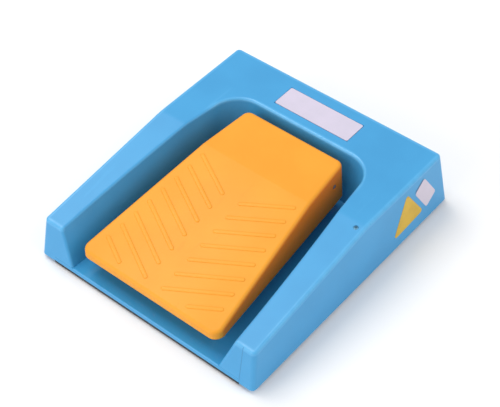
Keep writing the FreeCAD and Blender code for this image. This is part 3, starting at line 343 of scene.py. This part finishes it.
# powder coat on the base plate: a soft pebbled skin
powderCoat = {"dark": (18, 18, 19), "light": (34, 34, 36), "dust": (0.02, 5.0, 0.4, 0.8), "pebble": 0.0009,
              "depth": 0.00003, "gloss": (0.42, 0.60)}


def coatedSteel(name, look):
    place, surface = newMaterial(name)
    pebble = place.noise(look["pebble"], detail=2.0)
    place.feed(surface, {
        "Base Color": place.patches(look["dust"]).mixColours(look["dark"], look["light"]),
        "Roughness": pebble.between(*look["gloss"]),
        "Normal": pebble.bump(look["depth"]),
    })


coatedSteel("black_steel", powderCoat)

# bare metals: drawn lines along the stretched direction, and the cloudy plated bloom that they share
metals = {
    "zinc_steel": {"dull": (150, 152, 155), "bright": (196, 198, 202), "line": 0.0005,
                   "stretch": (1.0, 1.0, 1.0), "gloss": (0.26, 0.42)},
    "bright_steel": {"dull": (146, 142, 136), "bright": (186, 182, 176), "line": 0.0004,
                     "stretch": (8.0, 1.0, 1.0), "gloss": (0.34, 0.46)},
    "spring_steel": {"dull": (120, 118, 114), "bright": (176, 175, 172), "line": 0.0005,
                     "stretch": (1.0, 1.0, 0.3), "gloss": (0.22, 0.36)},
    "brass_strip": {"dull": (172, 136, 62), "bright": (214, 178, 96), "line": 0.0004,
                    "stretch": (1.0, 0.2, 1.0), "gloss": (0.2, 0.34)},
}
metalFace = {"bloom": (0.004, 4.0, 0.3, 0.7), "lineShare": 0.5, "bloomShare": 0.5, "depth": 0.000006}


def bareMetal(name, look, face):
    place, surface = newMaterial(name)
    lines = place.noise(look["line"], detail=2.0, stretch=look["stretch"])
    bloom = place.patches(face["bloom"])
    dull = face["lineShare"] * lines + face["bloomShare"] * bloom
    place.feed(surface, {
        "Base Color": bloom.mixColours(look["dull"], look["bright"]),
        "Roughness": dull.between(*look["gloss"]),
        "Metallic": 1.0,
        "Normal": lines.bump(face["depth"]),
    })


for name, look in metals.items():
    bareMetal(name, look, metalFace)

# rubber: dull, dusty, with a fine pitted face
rubberLook = {"deep": (15, 15, 16), "dusty": (44, 43, 42), "dust": (0.006, 5.0, 0.45, 0.8), "pit": 0.0008,
              "depth": 0.00004, "gloss": (0.68, 0.88)}


def rubber(name, look):
    place, surface = newMaterial(name)
    pits = place.noise(look["pit"], detail=3.0)
    place.feed(surface, {
        "Base Color": place.patches(look["dust"]).mixColours(look["deep"], look["dusty"]),
        "Roughness": pits.between(*look["gloss"]),
        "Normal": pits.bump(look["depth"]),
    })


rubber("black_rubber", rubberLook)

# the stickers and the bare nameplate: laminate with a slightly uneven tint, and the faint orange peel that
# they share
films = {
    "white_plate": {"tint": (210, 202, 221), "shade": (206, 199, 217), "gloss": (0.34, 0.42)},
    "white_sticker": {"tint": (214, 203, 218), "shade": (209, 199, 213), "gloss": (0.38, 0.46)},
    "yellow_sticker": {"tint": (218, 176, 26), "shade": (208, 167, 23), "gloss": (0.36, 0.44)},
}
filmFace = {"cloud": (0.009, 4.0, 0.3, 0.7), "peel": 0.0012, "depth": 0.00001}


def film(name, look, face):
    place, surface = newMaterial(name)
    peel = place.noise(face["peel"], detail=1.0)
    place.feed(surface, {
        "Base Color": place.patches(face["cloud"]).mixColours(look["tint"], look["shade"]),
        "Roughness": peel.between(*look["gloss"]),
        "Normal": peel.bump(face["depth"]),
    })


for name, look in films.items():
    film(name, look, filmFace)

# clear lens of the light: the blue shell shows through its rim, a dark chip behind its middle, and faint
# ripples from its mould
lensLook = {"chip": (36, 88, 116), "rim": (80, 146, 180), "chipReach": 0.0005, "rimReach": 0.0013,
            "ripple": 0.0004, "depth": 0.000004, "gloss": (0.1, 0.2), "coat": 0.6}


def lens(name, look, box):
    place, surface = newMaterial(name)
    x, y = place.xyz()[:2]
    low, high = box
    out = x - (low[0] + high[0]) / 2
    back = y - (low[1] + high[1]) / 2
    chip = (out * out + back * back).root().rise(look["rimReach"], look["chipReach"])
    ripples = place.noise(look["ripple"], detail=1.0)
    place.feed(surface, {
        "Base Color": chip.mixColours(look["rim"], look["chip"]),
        "Roughness": ripples.between(*look["gloss"]),
        "Normal": ripples.bump(look["depth"]),
        "Coat Weight": look["coat"],
    })


lens("light_lens", lensLook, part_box("status_led"))

# solder mask over copper tracks: the tracks show as paler straight lanes
boardLook = {"mask": (14, 74, 44), "track": (28, 104, 62), "lane": 0.0025, "laneLength": 0.01, "stagger": 0.5,
             "trackWidth": 0.0003, "trackEdge": 0.3, "depth": 0.00003, "speck": 0.0008, "gloss": (0.3, 0.4)}


def board(name, look):
    place, surface = newMaterial(name)
    sockets = {"Vector": place, "Scale": 1.0, "Brick Width": look["laneLength"], "Row Height": look["lane"],
               "Mortar Size": look["trackWidth"], "Mortar Smooth": look["trackEdge"]}
    tracks = place.node("ShaderNodeTexBrick", {"offset": look["stagger"]}, sockets, "Fac")
    specks = place.noise(look["speck"], detail=2.0)
    place.feed(surface, {
        "Base Color": tracks.mixColours(look["mask"], look["track"]),
        "Roughness": specks.between(*look["gloss"]),
        "Normal": tracks.bump(look["depth"]),
    })


board("green_board", boardLook)

# shrink wrap of the cells: a plain dark sleeve with a paler end band, finely creased
wrapLook = {"sleeve": (46, 52, 60), "band": (176, 150, 70), "bandStart": 0.018, "bandFade": 0.0004,
            "crease": 0.002, "stretch": (0.3, 1.0, 1.0), "depth": 0.00002, "gloss": (0.24, 0.36)}


def cellWrap(name, look):
    place, surface = newMaterial(name)
    x = place.xyz()[0]
    band = x.rise(look["bandStart"], look["bandStart"] + look["bandFade"])
    creases = place.noise(look["crease"], detail=3.0, stretch=look["stretch"])
    place.feed(surface, {
        "Base Color": band.mixColours(look["sleeve"], look["band"]),
        "Roughness": creases.between(*look["gloss"]),
        "Normal": creases.bump(look["depth"]),
    })


cellWrap("cell_wrap", wrapLook)

# each solid takes the finish that the record names for it
for node in nodes.values():
    slotName = node.data.materials[0].name.split(".")[0]
    node.data.materials[0] = materials[slotName]
print("finishes:", len(materials))

weldReach = 1e-6  # points closer than this, in metres, become one


# grids of points (rows, columns, 3) to one mesh piece; with wrap, the last column joins the first
def gridPiece(name, grids, wrap):
    corners = []
    faces = []
    for grid in grids:
        rows, columns = grid.shape[:2]
        index = np.arange(rows * columns).reshape(rows, columns) + sum(len(points) for points in corners)
        right = np.roll(index, -1, axis=1) if wrap else index[:, 1:]
        left = index if wrap else index[:, :-1]
        quads = np.stack([left[:-1], right[:-1], right[1:], left[1:]], axis=-1)
        corners.append(grid.reshape(-1, 3))
        faces.append(quads.reshape(-1, 4))
    mesh = bpy.data.meshes.new(name)
    mesh.from_pydata(np.concatenate(corners).tolist(), [], np.concatenate(faces).tolist())
    work = bmesh.new()
    work.from_mesh(mesh)
    bmesh.ops.remove_doubles(work, verts=work.verts, dist=weldReach)
    bmesh.ops.recalc_face_normals(work, faces=work.faces)
    work.to_mesh(mesh)
    work.free()
    mesh.polygons.foreach_set("use_smooth", np.ones(len(mesh.polygons), bool))
    piece = bpy.data.objects.new(name, mesh)
    bpy.context.scene.collection.objects.link(piece)
    return piece


def dress(piece, slotName):
    piece.data.materials.append(materials[slotName])


# grip ribs on the tread: two fans of low beads that make a V pointing to the toe; lengths in metres, lean and
# endTaper slopes
ribs = {
    "perSide": 8, "first": -0.0916, "pitch": 0.01113, "lean": 0.53, "inner": 0.0066, "nearest": -0.0815,
    "endHalf": 0.0340, "endY": 0.0016, "endTaper": 0.113, "halfWidth": 0.0013, "height": 0.0004,
    "roundness": 0.5, "endPoints": 9, "rows": 11,
}


# a bead is a long ellipsoid with a squarish section: a ball grid of latitude and longitude, split at its
# middle and drawn out to the rib's length, flattened to the rib's height, and laid along the tread's slope
def ribBead(sizes, form, start, end):
    half = np.pi / 2
    points = sizes["endPoints"]
    around = np.concatenate([np.linspace(-half, half, points), np.linspace(half, 3 * half, points)])
    shift = np.repeat([0.5, -0.5], points)
    lift = np.linspace(-half, half, sizes["rows"])[:, None]
    spread = sizes["halfWidth"] * np.abs(np.cos(lift)) ** sizes["roundness"]
    run = end - start
    length = np.linalg.norm(run)
    run = run / length
    normal = np.array([0.0, -form["toeSlope"], 1.0])
    normal = normal / np.linalg.norm(normal)
    across = np.cross(normal, run)
    along = spread * np.cos(around) + shift * length
    side = spread * np.sin(around)
    rise = sizes["height"] * np.sin(lift) + 0.0 * around  # the same height all round
    middle = (start + end) / 2
    return middle + along[..., None] * run + side[..., None] * across + rise[..., None] * normal


# parallel lines a pitch apart on each side, from the inner gap or the nose to the line of ends
def treadRibs(sizes, form):
    base = sizes["first"] + sizes["pitch"] * np.arange(sizes["perSide"]) - sizes["lean"] * sizes["inner"]
    inner = np.maximum(sizes["inner"], (sizes["nearest"] - base) / sizes["lean"])
    # the outer end is where the rib's line meets the line of ends beside the tread's edge
    outer = sizes["endHalf"] + sizes["endTaper"] * (sizes["endY"] - base)
    outer = outer / (1 + sizes["endTaper"] * sizes["lean"])
    grids = []
    for side in (-1, 1):
        for low, high, offset in zip(inner, outer, base):
            ends = np.array([low, high])
            y = offset + sizes["lean"] * ends
            z = form["creaseZ"] - form["toeSlope"] * (form["creaseY"] - y)
            start, end = np.stack([side * ends, y, z], axis=-1)
            grids.append(ribBead(sizes, form, start, end))
    piece = gridPiece("tread_ribs", grids, wrap=True)
    dress(piece, "orange_plastic")
    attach(piece, "pedal")


treadRibs(ribs, treadForm)
print("ribs:", 2 * ribs["perSide"])

# return springs, in metres: closed ends, one on the floor and one under the treadle, and open turns between;
# wire is the wire's radius, and endRise is how many of it a closed turn climbs
springs = {
    "x": 0.024, "y": -0.020, "low": 0.00535, "high": 0.0294, "coil": 0.0045, "wire": 0.00055, "turns": 7.0,
    "endTurns": 1.0, "endRise": 2.1, "steps": 36, "sides": 12,
}


# a helix whose pitch is smaller at both ends, carrying a circle square to its path
def returnSpring(name, node, x, sizes):
    count = int(sizes["turns"] * sizes["steps"]) + 1
    turn = np.linspace(0.0, sizes["turns"], count)
    room = sizes["high"] - sizes["low"] - 2 * sizes["wire"]
    closed = sizes["endRise"] * sizes["wire"]
    climb = np.interp(turn, [0, sizes["endTurns"], sizes["turns"] - sizes["endTurns"], sizes["turns"]],
                      [0, closed, room - closed, room])
    angle = 2 * np.pi * turn
    path = np.stack([x + sizes["coil"] * np.cos(angle), sizes["y"] + sizes["coil"] * np.sin(angle),
                     sizes["low"] + sizes["wire"] + climb], axis=-1)
    outward = np.stack([np.cos(angle), np.sin(angle), np.zeros(count)], axis=-1)
    along = np.gradient(path, axis=0)
    along = along / np.linalg.norm(along, axis=1, keepdims=True)
    upward = np.cross(outward, along)
    about = np.linspace(0.0, 2 * np.pi, sizes["sides"], endpoint=False)[:, None]
    ring = np.cos(about) * outward[:, None] + np.sin(about) * upward[:, None]
    tube = path[:, None] + sizes["wire"] * ring
    caps = [np.broadcast_to(path[i], (1, sizes["sides"], 3)) for i in (0, -1)]
    piece = gridPiece(name, [np.concatenate([caps[0], tube, caps[1]])], wrap=True)
    dress(piece, "spring_steel")
    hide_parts(node)
    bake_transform(piece)


returnSpring("spring_coil_left", "return_spring_left", -springs["x"], springs)
returnSpring("spring_coil_right", "return_spring_right", springs["x"], springs)
print("springs: 2")

# the photograph's viewpoint: place in metres, angles in degrees, lens and sensor in millimetres
cameraLook = {"place": (0.35806, -0.41676, 0.60356), "azimuth": 40.483, "elevation": 46.70, "roll": -1.363,
              "lens": 98.45, "sensor": 36.0}


def placeCamera(look):
    data = bpy.data.cameras.new("camera")
    data.lens = look["lens"]
    data.sensor_width = look["sensor"]
    camera = bpy.data.objects.new("camera", data)
    bpy.context.scene.collection.objects.link(camera)
    turn = Matrix.Rotation(math.radians(look["azimuth"]), 4, "Z")
    tilt = Matrix.Rotation(math.radians(90.0 - look["elevation"]), 4, "X")
    roll = Matrix.Rotation(math.radians(look["roll"]), 4, "Z")
    camera.matrix_world = Matrix.Translation(look["place"]) @ turn @ tilt @ roll
    bpy.context.scene.camera = camera


placeCamera(cameraLook)
print("camera set")

# floor, sky and soft boxes: places and sizes in metres, power in watts
studio = {
    "floorHalf": 3.0, "floorTint": (252, 252, 252), "floorShade": (246, 246, 247), "floorCloud": 0.4,
    "floorRough": 0.6, "sky": 0.55,
    "key": {"place": (-0.6, 0.0, 1.2), "size": 0.8, "power": 8.5},
    "fill": {"place": (-0.35, -1.25, 0.5), "size": 1.2, "power": 7.8},
    "side": {"place": (1.0, 0.3, 0.8), "size": 1.0, "power": 4.6},
}


def studioFloor(look):
    place, surface = newMaterial("pale_floor")
    cloud = place.noise(look["floorCloud"], detail=3.0)
    place.feed(surface, {
        "Base Color": cloud.mixColours(look["floorTint"], look["floorShade"]),
        "Roughness": look["floorRough"],
    })
    side = [-look["floorHalf"], 0.0, look["floorHalf"]]
    x, y = np.meshgrid(side, side)
    floor = gridPiece("floor", [np.stack([x, y, np.zeros_like(x)], axis=-1)], wrap=False)
    floor.data.materials.append(materials["pale_floor"])


# a square light that faces the point on the floor under the object's middle
def softBox(name, look):
    data = bpy.data.lights.new(name, "AREA")
    data.size = look["size"]
    data.energy = look["power"]
    box = bpy.data.objects.new(name, data)
    bpy.context.scene.collection.objects.link(box)
    place = Vector(look["place"])
    box.matrix_world = Matrix.Translation(place) @ place.to_track_quat("Z", "Y").to_matrix().to_4x4()


def sky(strength):
    world = bpy.data.worlds.new("studio")
    world.use_nodes = True
    background = world.node_tree.nodes["Background"]
    background.inputs["Color"].default_value = (1.0, 1.0, 1.0, 1.0)
    background.inputs["Strength"].default_value = strength
    bpy.context.scene.world = world


studioFloor(studio)
for name in ("key", "fill", "side"):
    softBox(name, studio[name])
sky(studio["sky"])
bpy.context.scene.view_settings.view_transform = "Standard"
print("studio set")
